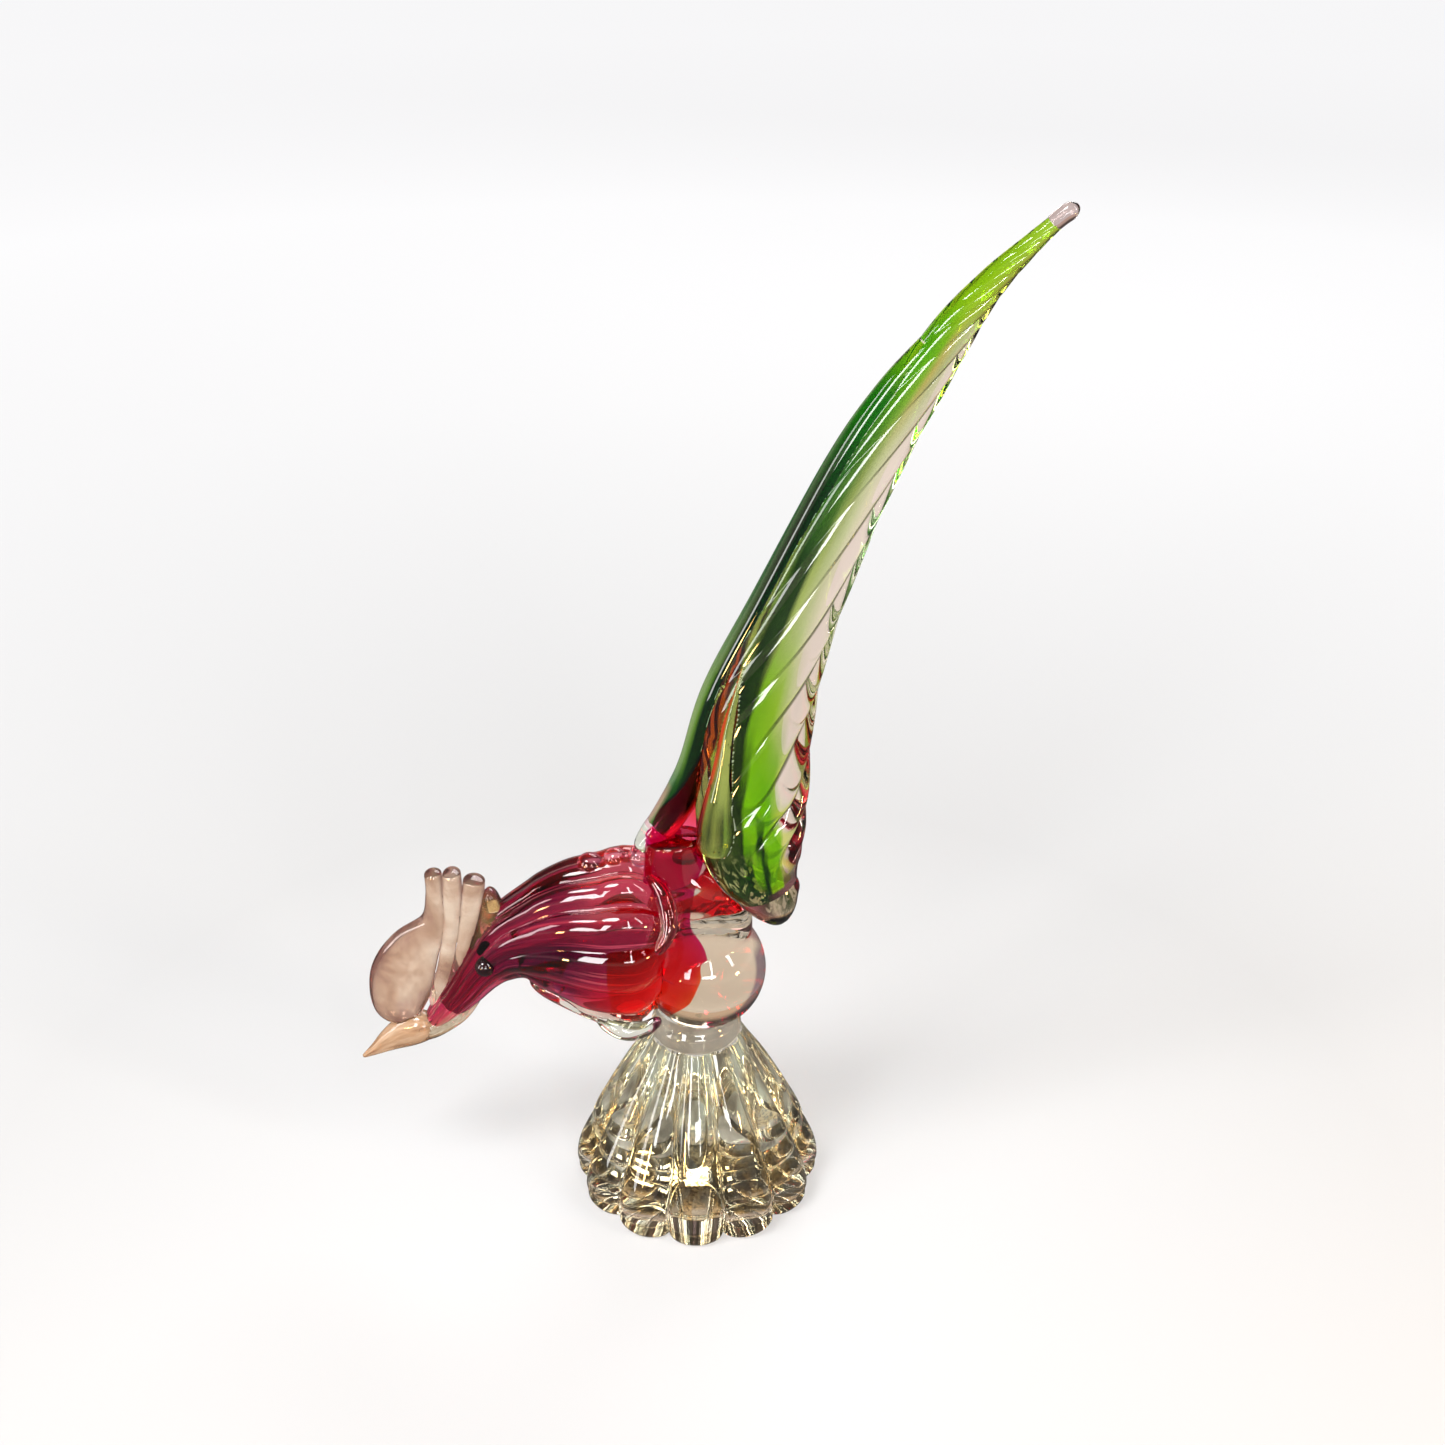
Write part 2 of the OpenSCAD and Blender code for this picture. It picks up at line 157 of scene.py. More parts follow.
def face_outwards(piece):
    """Turns every face outwards if the mesh is inside out."""
    mesh = piece.data
    co = np.zeros(len(mesh.vertices) * 3)
    mesh.vertices.foreach_get("co", co)
    co = co.reshape(-1, 3)
    mesh.calc_loop_triangles()
    tri = np.zeros(len(mesh.loop_triangles) * 3, int)
    mesh.loop_triangles.foreach_get("vertices", tri)
    p, q, r = (co[tri.reshape(-1, 3)[:, j]] for j in range(3))
    if np.einsum("ij,ij->i", p, np.cross(q, r)).sum() < 0:
        mesh.flip_normals()


def plain(t, b, a):
    """A strand with no ribs. A shape takes t, the angle before the twist and the angle after it."""
    return 1 + 0 * a


def folds(angle):
    """Round-backed ribs with sharp furrows, from -1 to 1."""
    return 2 * np.abs(np.cos(angle / 2)) ** 0.8 - 1


def strand(name, rows, steps, sides, shape=plain, first=0.0, last=0.0, twist=0.0):
    """A strand of glass swept along its rows, with rounded ends."""
    t = spaced(count(steps), first, last)
    rings, angle = rings_of(rows, t, count(sides), shape, rounded(t, first, last), twist)
    return skin(name, rings, t, angle)


# ---- Joining, and telling which faces are fused ----

shells = []


def outer(piece, material):
    """Registers a shell of outer glass. Its faces inside another shell become joints."""
    piece.data.materials.append(material)
    piece.data.materials.append(JOINT)
    shells.append(piece)
    return piece


def inner(piece, material):
    """Gives its material to a piece that has no joints."""
    piece.data.materials.append(material)
    return piece


def fuse_shells():
    """Gives the joint material to each shell's faces that lie inside another shell."""
    trees = {}
    boxes = {}
    for shell in shells:
        verts = [v.co.copy() for v in shell.data.vertices]
        trees[shell.name] = BVHTree.FromPolygons(verts, [tuple(p.vertices) for p in shell.data.polygons])
        co = np.array(verts)
        boxes[shell.name] = (co.min(0), co.max(0))

    def holds(name, point):
        if not all(low < c < high for low, c, high in zip(boxes[name][0], point, boxes[name][1])):
            return False
        spot, normal, _, _ = trees[name].find_nearest(point)
        return spot is not None and (point - spot).dot(normal) < -INSIDE_BY

    for shell in shells:
        low, high = boxes[shell.name]
        near = [n for n, box in boxes.items() if n != shell.name and all(box[0] < high) and all(box[1] > low)]
        for face in shell.data.polygons:
            if any(holds(name, face.center) for name in near):
                face.material_index = 1


def union(keep, other):
    """Joins the second shell into the first as one closed skin."""
    modifier = keep.modifiers.new("union", "BOOLEAN")
    modifier.operation = "UNION"
    modifier.solver = "MANIFOLD"
    modifier.object = other
    bpy.context.view_layer.update()
    joined = bpy.data.meshes.new_from_object(keep.evaluated_get(bpy.context.evaluated_depsgraph_get()))
    keep.modifiers.clear()
    joined.materials.clear()
    keep.data = joined
    joined.shade_smooth()
    bpy.data.objects.remove(other)
    return keep


# ---- Materials ----


class Nodes:
    """A short way to write a node tree. A value is a (node, socket) pair, a number or a colour."""

    def __init__(self, tree):
        self.tree = tree
        tree.nodes.clear()

    def add(self, kind, **values):
        node = self.tree.nodes.new(kind)
        for key, value in values.items():
            setattr(node, key, value)
        return node

    def feed(self, value, node, socket):
        """Links a pair to one of a node's inputs, or sets the input to a number or a colour."""
        entry = node.inputs[socket]
        if not isinstance(value, tuple):
            entry.default_value = value
        elif isinstance(value[0], bpy.types.Node):
            self.tree.links.new(value[0].outputs[value[1]], entry)
        else:
            entry.default_value = (*value, 1)

    def stretched(self, coords, scale):
        mapping = self.add("ShaderNodeMapping")
        mapping.inputs["Scale"].default_value = scale
        self.feed(coords, mapping, "Vector")
        return (mapping, "Vector")

    def flow(self, scale=(1, 1, 1)):
        """Coordinates that run round and along a strand: cos and sin of the angle, and the share along."""
        return self.stretched((self.add("ShaderNodeAttribute", attribute_name="flow"), "Vector"), scale)

    def place(self, scale=(1, 1, 1)):
        """Coordinates in space."""
        return self.stretched((self.add("ShaderNodeTexCoord"), "Object"), scale)

    def split(self, coords):
        node = self.add("ShaderNodeSeparateXYZ")
        self.feed(coords, node, 0)
        return (node, 0), (node, 1), (node, 2)

    def noise(self, coords, scale, detail=3.0, distortion=0.0):
        node = self.add("ShaderNodeTexNoise")
        self.feed(coords, node, "Vector")
        self.feed(scale, node, "Scale")
        self.feed(detail, node, "Detail")
        self.feed(distortion, node, "Distortion")
        return (node, "Fac")

    def ramp(self, value, stops):
        """A colour for each value, from stops that are (position, colour)."""
        node = self.add("ShaderNodeValToRGB")
        elements = node.color_ramp.elements
        while len(elements) < len(stops):
            elements.new(0.5)
        for element, (position, color) in zip(elements, stops):
            element.position = position
            element.color = (*color, 1)
        self.feed(value, node, "Fac")
        return (node, "Color")

    def math(self, operation, *values):
        node = self.add("ShaderNodeMath", operation=operation)
        for i, value in enumerate(values):
            self.feed(value, node, i)
        return (node, 0)

    def times(self, first, *others):
        """The product of several values."""
        for other in others:
            first = self.math("MULTIPLY", first, other)
        return first

    def share(self, value, low, high, first=0.0, last=1.0):
        """Maps low to first and high to last, smoothly, and holds beyond them."""
        node = self.add("ShaderNodeMapRange", interpolation_type="SMOOTHSTEP")
        self.feed(value, node, "Value")
        self.feed(low, node, "From Min")
        self.feed(high, node, "From Max")
        self.feed(first, node, "To Min")
        self.feed(last, node, "To Max")
        return (node, 0)

    def mix(self, share, a, b, blend="MIX"):
        """Blends colour a into colour b."""
        node = self.add("ShaderNodeMix", data_type="RGBA", blend_type=blend)
        self.feed(share, node, 0)
        self.feed(a, node, 6)
        self.feed(b, node, 7)
        return (node, 2)

    def strand_place(self, wander=0.0, size=2.0, scale=(1, 1, 1)):
        """The share across the near side from its first edge, the share along, and how far it faces away."""
        cosine, sine, along = self.split(self.flow())
        across = self.math("MULTIPLY_ADD", cosine, -0.5, 0.5)
        if wander:
            drift = self.noise(self.flow(scale), size, 2.0)
            across = self.math("ADD", across, self.math("MULTIPLY_ADD", drift, wander, -0.5 * wander))
        return across, along, sine

    def bands(self, across, along, sets):
        """Colours across a strand, given at several places along it and blended between them."""
        color = self.ramp(across, sets[0][1])
        for (before, _), (at, stops) in zip(sets, sets[1:]):
            color = self.mix(self.share(along, before, at), color, self.ramp(across, stops))
        return color

    def cased(self, color, side):
        """Puts the full colour into the near skin and a wash of it into the far one."""
        node = self.add("ShaderNodeGamma")
        self.feed(color, node, "Color")
        self.feed(self.share(side, -0.25, 0.25, 2.0, 0.4), node, "Gamma")
        return (node, 0)

    def furrows(self, ribs, twist, low, high):
        """1 in the furrows between ribs that turn by twist degrees, 0 on their backs."""
        cosine, sine, along = self.split(self.flow())
        angle = self.math("ARCTAN2", sine, cosine)
        turned = self.math("MULTIPLY_ADD", self.math("POWER", along, 2.0), -math.radians(twist), angle)
        return self.share(self.math("COSINE", self.times(turned, float(ribs))), low, high, 1.0, 0.0)


class Material(Nodes):
    """A material's tree, with its output and its one shader."""

    def __init__(self, name, **values):
        self.material = bpy.data.materials.new(name)
        self.material.use_nodes = True
        super().__init__(self.material.node_tree)
        self.out = self.add("ShaderNodeOutputMaterial")
        self.bsdf = self.add("ShaderNodeBsdfPrincipled")
        self.feed((self.bsdf, 0), self.out, "Surface")
        self.set(**values)

    def set(self, **values):
        """Feeds the shader's inputs, with underscores for the spaces in their names."""
        for key, value in values.items():
            self.feed(value, self.bsdf, key.replace("_", " "))
        return self.material

    def bump(self, height, strength, distance):
        node = self.add("ShaderNodeBump")
        self.feed(strength, node, "Strength")
        self.feed(distance, node, "Distance")
        self.feed(height, node, "Height")
        self.feed((node, "Normal"), self.bsdf, "Normal")

    def absorb(self, color, density):
        """Colours the inside, so that it deepens with the thickness."""
        node = self.add("ShaderNodeVolumeAbsorption")
        self.feed(color, node, "Color")
        self.feed(density, node, "Density")
        self.feed((node, "Volume"), self.out, "Volume")


GLASS_IOR = 1.48
NECK_RIBS = 12
NECK_TWIST = 30.0
TAIL_RIBS = 8
TAIL_TWIST = -620.0
BALL = (3, 0, 97)
BALL_R = 23.2

PINK = (0.92, 0.79, 0.7)
OLIVE = (0.03, 0.06, 0.01)
LIME = (0.36, 0.68, 0.002)


RIPPLE_SCALE = 90.0
RIPPLE_HEIGHT = 0.0006


def skin_glass(name, roughness=0.015, ripple=0.04, clearness=1.0):
    """The start of an outer skin: clear glass with the faint ripple of hand work."""
    n = Material(name, Transmission_Weight=clearness, IOR=GLASS_IOR, Roughness=roughness)
    n.bump(n.noise(n.place(), RIPPLE_SCALE, 1.0), ripple, RIPPLE_HEIGHT)
    return n


def core_glass(name):
    """The start of a core: no index step, so light passes straight and takes its colour."""
    return Material(name, Transmission_Weight=1.0, IOR=1.0, Roughness=0.0)


def joint_glass():
    """Where two pieces are fused: nothing to see."""
    return core_glass("joint_faces").set(Base_Color=(1, 1, 1))


def tinted_skin(name, stops, scale=(1, 1, 0.4), size=2.0):
    """Outer glass with a tint that drifts along the pull."""
    n = skin_glass(name)
    return n.set(Base_Color=n.ramp(n.noise(n.flow(scale), size, 4.0, 0.6), stops))


def blade_skin():
    """Dark green and lime stripes that clear to rose at the rear and join in yellow-green at the tip."""
    n = skin_glass("blade_skin")
    across, along, side = n.strand_place(0.07, 2.5, (1.5, 1.5, 4))
    bottle = (0.02, 0.07, 0.015)
    pine = (0.012, 0.06, 0.01)
    deep_pine = (0.01, 0.06, 0.01)
    smoke = (0.08, 0.05, 0.04)
    wine = (0.3, 0.13, 0.14)
    straw = (0.66, 0.67, 0.42)
    color = n.bands(across, along, [
        (0.0, [(0.3, OLIVE), (0.5, bottle), (0.6, smoke), (0.86, wine)]),
        (0.03, [(0.3, OLIVE), (0.52, (0.01, 0.05, 0.01)), (0.6, smoke), (0.86, wine)]),
        (0.045, [
            (0.3, OLIVE), (0.62, pine), (0.64, LIME), (0.8, LIME), (0.82, (0.3, 0.16, 0.16)),
            (0.93, (0.2, 0.1, 0.11)),
        ]),
        (0.14, [
            (0.3, OLIVE), (0.5, pine), (0.52, LIME), (0.58, LIME), (0.6, bottle), (0.64, bottle),
            (0.66, LIME), (0.78, LIME), (0.8, PINK), (0.95, (0.5, 0.34, 0.32)),
        ]),
        (0.25, [
            (0.3, (0.1, 0.14, 0.03)), (0.43, OLIVE), (0.45, LIME), (0.54, LIME), (0.56, deep_pine),
            (0.61, deep_pine), (0.63, LIME), (0.76, (0.3, 0.62, 0.02)), (0.79, PINK),
        ]),
        (0.34, [
            (0.27, (0.3, 0.36, 0.1)), (0.3, OLIVE), (0.42, OLIVE), (0.45, LIME), (0.66, (0.26, 0.6, 0.01)),
            (0.74, PINK),
        ]),
        (0.47, [
            (0.14, (0.4, 0.46, 0.12)), (0.19, (0.015, 0.05, 0.008)), (0.36, (0.02, 0.05, 0.01)),
            (0.4, (0.3, 0.56, 0.02)), (0.58, (0.42, 0.62, 0.06)), (0.68, (0.7, 0.7, 0.42)), (0.76, PINK),
        ]),
        (0.57, [
            (0.1, (0.2, 0.34, 0.05)), (0.16, (0.02, 0.06, 0.012)), (0.32, (0.03, 0.07, 0.02)),
            (0.37, (0.5, 0.58, 0.2)), (0.56, straw), (0.7, PINK),
        ]),
        (0.64, [
            (0.1, (0.02, 0.2, 0.02)), (0.3, (0.1, 0.25, 0.04)), (0.42, (0.35, 0.42, 0.14)),
            (0.55, (0.66, 0.68, 0.42)), (0.72, PINK),
        ]),
        (0.72, [
            (0.1, (0.1, 0.45, 0.008)), (0.42, (0.22, 0.54, 0.015)), (0.52, (0.6, 0.5, 0.16)),
            (0.66, (0.6, 0.6, 0.36)), (0.85, PINK),
        ]),
        (0.8, [(0.2, (0.36, 0.66, 0.01)), (0.6, (0.46, 0.62, 0.05)), (0.95, (0.45, 0.42, 0.14))]),
        (1.0, [(0.2, (0.42, 0.66, 0.05)), (0.8, (0.52, 0.7, 0.12))]),
    ])
    swirl = n.noise(n.flow((1.6, 1.6, 5)), 2.6, 2.0, 2.2)
    streak = n.times(
        n.share(swirl, 0.52, 0.58), n.share(along, 0.1, 0.25, 0.8, 0.0), n.share(across, 0.5, 0.6, 1.0, 0.0)
    )
    color = n.mix(streak, color, (0.52, 0.5, 0.24))
    # Painted shade: the furrows between the ribs are darkened on the near side, over the middle of the blade.
    furrow_shade = n.times(
        n.furrows(TAIL_RIBS, TAIL_TWIST, -1.0, -0.9), n.share(across, 0.35, 0.75),
        n.share(side, -0.3, 0.1, 1.0, 0.0), n.share(along, 0.1, 0.3), n.share(along, 0.76, 0.84, 1.0, 0.0),
    )
    shade = n.mix(furrow_shade, (1, 1, 1), (0.26, 0.28, 0.2))
    return n.set(Base_Color=n.cased(n.mix(1.0, color, shade, "MULTIPLY"), side))


def strand_skin():
    """Bottle green with a pale front rim, ruby behind at its foot, lime at its end."""
    n = skin_glass("strand_skin")
    across, along, side = n.strand_place(0.08, 3.0, (1, 1, 3))
    rim = (0.6, 0.66, 0.4)
    deep = (0.002, 0.035, 0.006)
    leaf = (0.01, 0.4, 0.01)
    color = n.bands(across, along, [
        (0.0, [(0.02, rim), (0.1, leaf), (0.34, leaf), (0.44, (0.9, 0.12, 0.2)), (0.9, (0.95, 0.2, 0.3))]),
        (0.1, [
            (0.02, rim), (0.1, (0.008, 0.3, 0.01)), (0.4, (0.004, 0.12, 0.006)), (0.56, (0.01, 0.06, 0.01)),
            (0.66, (0.9, 0.1, 0.14)), (0.95, (0.95, 0.16, 0.2)),
        ]),
        (0.2, [
            (0.02, rim), (0.1, (0.006, 0.16, 0.01)), (0.3, deep), (0.72, deep), (0.84, (0.6, 0.06, 0.05)),
            (0.95, (0.8, 0.08, 0.05)),
        ]),
        (0.4, [
            (0.05, rim), (0.12, (0.3, 0.46, 0.08)), (0.2, deep), (0.55, deep), (0.7, (0.05, 0.3, 0.01)),
            (0.85, (0.2, 0.4, 0.04)),
        ]),
        (0.62, [
            (0.0, (0.04, 0.2, 0.03)), (0.12, deep), (0.6, (0.004, 0.05, 0.012)), (0.9, (0.03, 0.2, 0.01)),
        ]),
        (0.76, [(0.0, (0.02, 0.25, 0.006)), (0.5, (0.01, 0.2, 0.006)), (0.9, (0.08, 0.36, 0.01))]),
        (0.88, [(0.1, (0.24, 0.6, 0.008)), (0.9, (0.34, 0.64, 0.02))]),
    ])
    return n.set(Base_Color=n.cased(color, side))


def strip_skin():
    """Pale seedy glass: specks of trapped air, and folded bands of olive glass near its foot."""
    n = skin_glass("strip_skin", 0.03, 0.08)
    across, along, side = n.strand_place(0.1, 3.0, (2, 2, 2))
    color = n.bands(across, along, [
        (0.02, [
            (0.08, (0.5, 0.03, 0.03)), (0.16, (0.3, 0.34, 0.08)), (0.5, (0.5, 0.55, 0.14)),
            (0.9, (0.08, 0.12, 0.03)),
        ]),
        (0.22, [
            (0.06, (0.75, 0.03, 0.02)), (0.13, (0.4, 0.44, 0.1)), (0.28, (0.1, 0.13, 0.04)),
            (0.42, (0.42, 0.46, 0.12)), (0.62, (0.07, 0.1, 0.03)), (0.7, (0.3, 0.45, 0.08)),
            (0.86, (0.05, 0.08, 0.02)),
        ]),
        (0.42, [
            (0.07, (0.85, 0.05, 0.02)), (0.14, (0.5, 0.55, 0.16)), (0.3, (0.28, 0.32, 0.08)),
            (0.5, (0.5, 0.57, 0.18)), (0.74, (0.48, 0.55, 0.16)), (0.9, (0.12, 0.16, 0.05)),
        ]),
        (0.6, [(0.12, (0.9, 0.09, 0.02)), (0.22, (0.6, 0.62, 0.2)), (0.9, (0.56, 0.62, 0.18))]),
    ])
    seeds = n.add("ShaderNodeTexVoronoi")
    n.feed(700.0, seeds, "Scale")
    n.feed(n.place((1, 1, 0.6)), seeds, "Vector")
    size = n.share(n.noise(n.place(), 260.0, 1.0), 0.45, 0.75, 0.0, 0.32)
    speck = n.math("LESS_THAN", (seeds, "Distance"), size)
    return n.set(Base_Color=n.cased(n.mix(speck, color, (0.1, 0.12, 0.04)), side))


def lobe_skin():
    """Smoky olive and rose with a pale fold across it."""
    n = skin_glass("lobe_skin")
    across, along, side = n.strand_place(0.12, 2.5, (1.5, 1.5, 2))
    color = n.bands(across, along, [
        (0.0, [
            (0.1, (0.3, 0.3, 0.12)), (0.24, OLIVE), (0.5, (0.04, 0.05, 0.02)), (0.7, (0.26, 0.08, 0.11)),
            (1.0, (0.42, 0.16, 0.2)),
        ]),
        (0.4, [
            (0.05, (0.25, 0.2, 0.1)), (0.2, OLIVE), (0.4, (0.6, 0.5, 0.34)), (0.5, (0.1, 0.08, 0.05)),
            (0.75, (0.36, 0.12, 0.13)),
        ]),
        (0.9, [(0.1, (0.5, 0.42, 0.33)), (0.5, (0.5, 0.3, 0.25)), (0.9, (0.55, 0.14, 0.14))]),
    ])
    swirl = n.noise(n.flow((1.6, 1.6, 1.2)), 2.2, 2.0, 2.2)
    fold = n.times(n.share(swirl, 0.53, 0.6, 0.0, 0.75), n.share(across, 0.5, 0.66, 1.0, 0.0))
    return n.set(Base_Color=n.cased(n.mix(fold, color, (0.6, 0.5, 0.36)), side))


def neck_skin():
    """Ruby glass in long streaks along the ribs, clearing to rose along the underside, with painted pale
    highlight streaks.
    """
    n = skin_glass("neck_skin")
    across, along, side = n.strand_place(0.16, 3.2, (2.4, 2.4, 1.2))
    clear = (0.84, 0.74, 0.66)
    color = n.bands(across, along, [
        (0.0, [
            (0.08, clear), (0.2, (0.99, 0.05, 0.05)), (0.45, (0.92, 0.015, 0.06)), (0.7, (0.32, 0.015, 0.08)),
            (0.95, (0.66, 0.22, 0.25)),
        ]),
        (0.16, [
            (0.06, clear), (0.14, (0.9, 0.25, 0.22)), (0.26, (0.94, 0.02, 0.06)), (0.42, (0.55, 0.012, 0.1)),
            (0.6, (0.2, 0.012, 0.07)), (0.75, (0.32, 0.04, 0.1)), (0.9, (0.7, 0.26, 0.28)),
        ]),
        (0.36, [
            (0.14, clear), (0.26, (0.9, 0.56, 0.54)), (0.3, (0.62, 0.07, 0.2)), (0.46, (0.24, 0.025, 0.15)),
            (0.6, (0.2, 0.02, 0.12)), (0.74, (0.5, 0.08, 0.17)), (0.84, (0.8, 0.34, 0.36)),
            (0.93, (0.66, 0.24, 0.27)),
        ]),
        (0.56, [
            (0.16, clear), (0.24, (0.8, 0.5, 0.46)), (0.3, (0.56, 0.03, 0.14)), (0.5, (0.3, 0.015, 0.13)),
            (0.66, (0.28, 0.02, 0.12)), (0.8, (0.66, 0.2, 0.26)), (0.95, (0.6, 0.16, 0.2)),
        ]),
        (0.8, [
            (0.2, clear), (0.27, (0.72, 0.16, 0.2)), (0.36, (0.62, 0.015, 0.1)), (0.42, (0.8, 0.42, 0.38)),
            (0.47, (0.6, 0.015, 0.1)), (0.9, (0.36, 0.012, 0.09)),
        ]),
        (0.98, [(0.2, (0.85, 0.7, 0.55)), (0.4, (0.7, 0.12, 0.14)), (0.8, (0.6, 0.05, 0.12))]),
    ])
    # Painted highlights: thin pale pink streaks along the ribs stand in for glints of light.
    highlight_streaks = n.share(n.noise(n.flow((7, 7, 0.9)), 2.2, 2.0, 0.3), 0.6, 0.66, 0.0, 0.65)
    return n.set(Base_Color=n.cased(n.mix(highlight_streaks, color, (0.85, 0.42, 0.42)), side))


def ball_skin():
    """Warm beige glass, with a painted smoky violet shade low on its tail side and a painted ruby refraction
    high on its rim.
    """
    n = skin_glass("ball_skin")
    drift = n.ramp(n.noise(n.place(), 25.0, 3.0), [(0.3, (0.66, 0.52, 0.37)), (0.7, (0.84, 0.7, 0.54))])
    from_centre = n.add("ShaderNodeMapping")
    from_centre.inputs["Location"].default_value = tuple(-c / BALL_R for c in BALL)
    n.feed(n.place((1 / (BALL_R * MM),) * 3), from_centre, "Vector")

    def towards(*direction):
        """1 at the skin in a direction from the ball's centre, less away from it."""
        dot = n.add("ShaderNodeVectorMath", operation="DOT_PRODUCT")
        n.feed((from_centre, "Vector"), dot, 0)
        dot.inputs[1].default_value = direction
        return (dot, "Value")

    # The rim is the ball's outline seen along the camera's view direction. Low on it a smoky violet crescent
    # is painted shade, high on it a ruby patch is a painted refraction.
    rim = n.share(towards(0, -0.87, 0.48), 0.5, 0.6, 1.0, 0.0)
    low = n.times(rim, n.share(towards(0.82, -0.28, -0.5), 0.4, 0.6))
    high = n.times(rim, n.share(towards(0.57, 0.39, 0.71), 0.8, 0.88))
    color = n.mix(low, drift, (0.16, 0.1, 0.14))
    return n.set(Base_Color=n.mix(high, color, (0.34, 0.14, 0.16)))


def scarlet_core():
    """Scarlet in the ball, crimson where it rises behind the neck. Thin edges go orange."""
    n = core_glass("scarlet_core")
    _, along, _ = n.strand_place()
    wave = n.noise(n.flow((1.5, 1.5, 1)), 2.0)
    drift = n.ramp(wave, [(0.3, (0.96, 0.12, 0.03)), (0.7, (0.98, 0.24, 0.05))])
    n.absorb((0.985, 0.42, 0.6), 160.0)
    return n.set(Base_Color=n.mix(n.share(along, 0.38, 0.54), drift, (0.66, 0.025, 0.26)))


def lime_core():
    """Lime in the lower half, nearly clear above it."""
    n = core_glass("lime_core")
    _, along, _ = n.strand_place()
    wave = n.noise(n.flow((1.5, 1.5, 0.5)), 2.0)
    drift = n.ramp(wave, [(0.3, (0.6, 0.84, 0.2)), (0.7, (0.8, 0.92, 0.4))])
    return n.set(Base_Color=n.mix(n.share(along, 0.35, 0.6), drift, (0.93, 0.97, 0.85)))


def ruby_core():
    """Streaked burgundy, clearing to crimson at the breast's rear end."""
    n = core_glass("ruby_core")
    _, along, _ = n.strand_place()
    streaks = n.noise(n.flow((3.2, 3.2, 0.7)), 2.0, 3.0, 0.6)
    color = n.ramp(streaks, [(0.36, (0.14, 0.02, 0.1)), (0.5, (0.4, 0.05, 0.18)), (0.64, (0.8, 0.18, 0.3))])
    return n.set(Base_Color=n.mix(n.share(along, 0.14, 0.36), (0.98, 0.55, 0.6), color))


def spike_core():
    """Crimson where it leaves the body, orange-red along its thin end."""
    n = core_glass("spike_core")
    across, along, _ = n.strand_place()
    return n.set(Base_Color=n.bands(across, along, [
        (0.0, [(0.2, (0.98, 0.12, 0.34)), (0.8, (0.99, 0.16, 0.4))]),
        (0.35, [(0.2, (0.9, 0.04, 0.1)), (0.8, (0.95, 0.06, 0.08))]),
        (0.6, [(0.2, (0.95, 0.1, 0.03)), (0.8, (0.95, 0.2, 0.06))]),
    ]))


def foot_skin():
    """Bell glass: mottled toes, a plain band, smoke at mid height, grey-green above; toes and mid height carry
    painted golden glints of warm light.
    """
    n = skin_glass("foot_skin", 0.02, 0.1)
    _, along, _ = n.strand_place()
    smoke = n.noise(n.place((1, 1, 0.7)), 75.0, 3.0, 0.8)
    # The specks of this noise place painted glints of warm golden light.
    grain = n.noise(n.place((1, 1, 1.6)), 420.0, 2.0, 1.0)
    tall = n.noise(n.place((1, 1, 0.22)), 110.0, 2.0, 0.3)
    # Mottled toes, their brightest golden flecks painted glints of warm light.
    toe = n.ramp(grain, [
        (0.38, (0.12, 0.09, 0.045)), (0.47, (0.45, 0.37, 0.22)), (0.53, (1, 0.7, 0.32)),
        (0.6, (0.6, 0.52, 0.38)),
    ])
    band = n.ramp(smoke, [(0.35, (0.6, 0.53, 0.46)), (0.55, (0.85, 0.77, 0.68))])
    # Painted golden glints of warm light, mixed over smoke at mid height.
    gold_glints = n.ramp(grain, [(0.42, (0.16, 0.1, 0.035)), (0.48, (0.66, 0.42, 0.13)), (0.54, (1, 0.72, 0.28))])
    dusk = n.ramp(smoke, [(0.38, (0.1, 0.09, 0.06)), (0.5, (0.42, 0.4, 0.27)), (0.62, (0.8, 0.77, 0.6))])
    upper = n.ramp(tall, [(0.38, (0.11, 0.09, 0.05)), (0.5, (0.34, 0.32, 0.19)), (0.6, (0.56, 0.64, 0.44))])
    middle = n.mix(n.share(tall, 0.46, 0.52), dusk, gold_glints)
    color = n.mix(n.share(along, 0.36, 0.39), toe, band)
    color = n.mix(n.share(along, 0.44, 0.48), color, middle)
    color = n.mix(n.share(along, 0.66, 0.78), color, upper)
    return n.set(Base_Color=n.mix(n.share(along, 0.0, 0.01), (0.9, 0.88, 0.82), color))


def comb_skin(name, stops):
    """Mottled smoky glass, darker along its edges."""
    n = skin_glass(name, 0.05, 0.12, 0.88)
    across, _, _ = n.strand_place(0.05, 2.0)
    color = n.ramp(n.noise(n.place((1, 1, 0.8)), 75.0, 6.0, 0.4), stops)
    edge = n.math("ABSOLUTE", n.math("SUBTRACT", across, 0.5))
    return n.set(Base_Color=n.mix(n.share(edge, 0.3, 0.5), color, (0.26, 0.13, 0.11)))


def peach_glass():
    """Cloudy amber glass with a fine grain."""
    n = Material("beak_skin", Transmission_Weight=0.55, IOR=GLASS_IOR, Roughness=0.12)
    n.bump(n.noise(n.place(), 300.0, 2.0), 0.15, 0.0004)
    stops = [(0.3, (0.3, 0.16, 0.09)), (0.5, (0.48, 0.31, 0.19)), (0.7, (0.68, 0.5, 0.35))]
    return n.set(Base_Color=n.ramp(n.noise(n.flow(), 2.5, 4.0), stops))


def black_glass():
    n = Material("eye_bead", Roughness=0.04, IOR=1.5)
    swirl = n.noise(n.place(), 400.0, 2.0, 1.0)
    return n.set(Base_Color=n.ramp(swirl, [(0.4, (0.006, 0.002, 0.003)), (0.8, (0.03, 0.008, 0.01))]))


